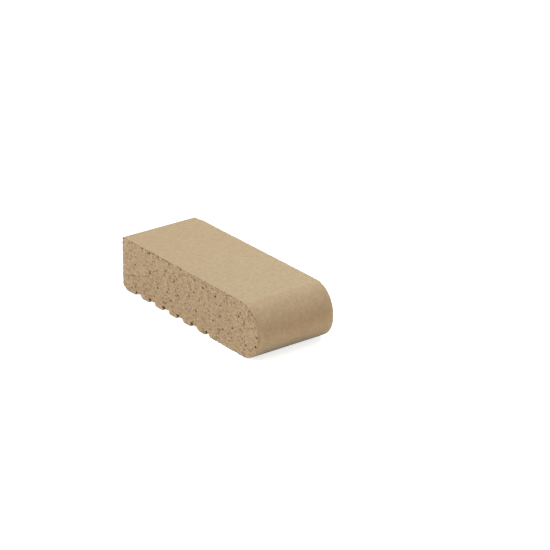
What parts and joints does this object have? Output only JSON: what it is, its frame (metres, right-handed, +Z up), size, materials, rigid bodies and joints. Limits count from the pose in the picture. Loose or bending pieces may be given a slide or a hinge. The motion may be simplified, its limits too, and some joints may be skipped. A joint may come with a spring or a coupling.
{
  "type": "bullnose pool coping brick",
  "caption": "Fired clay coping brick with a flat top, a full bullnose end and a ribbed underside, laid on the rim of a pool.",
  "frame": {"origin": "middle of the footprint, on the underside", "axes": "+X from the square rear face towards the bullnose, +Y across the two cut faces, +Z up"},
  "size_m": [0.2286, 0.092, 0.0571],
  "materials": {
    "fired_clay": "matt, unglazed"
  },
  "bodies": {
    "root": {"coping_brick": "fired_clay"}
  },
  "joints": []
}
